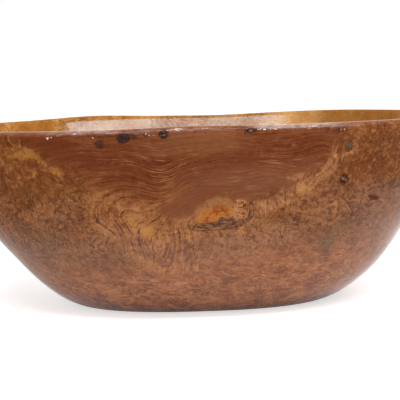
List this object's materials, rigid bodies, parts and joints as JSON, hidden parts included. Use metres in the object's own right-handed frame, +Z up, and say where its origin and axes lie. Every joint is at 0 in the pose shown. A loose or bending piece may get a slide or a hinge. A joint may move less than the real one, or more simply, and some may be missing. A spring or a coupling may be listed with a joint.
{
  "type": "burl wood bowl",
  "caption": "Free-form oval fruit bowl carved from burl wood, with a flared wall, round hand-cut lip, flat oval foot and encased knots and bark under clear gloss lacquer.",
  "frame": {"origin": "centre of the foot's flat underside, in the middle of the bowl's length and width", "axes": "+Z up, +X along the bowl's length to the right seen from the front, -Y towards the front that the picture shows"},
  "size_m": [0.4, 0.31, 0.1379],
  "materials": {
    "burl_wood": "red-brown burl wood under clear gloss lacquer",
    "dark_knot": "dark encased knot under clear gloss lacquer",
    "grey_knot": "greenish-grey ringed knot under clear gloss lacquer",
    "bark": "ingrown bark, filled and lacquered"
  },
  "bodies": {
    "root": {"bowl": "burl_wood", "rim_pin_knot": "dark_knot", "left_rim_bark": "bark", "middle_rim_bark": "bark", "right_rim_bark": "bark", "ringed_knot": "grey_knot", "split_knot": "dark_knot", "lens_knot": "dark_knot", "heart_bark_seam": "bark"}
  },
  "joints": []
}
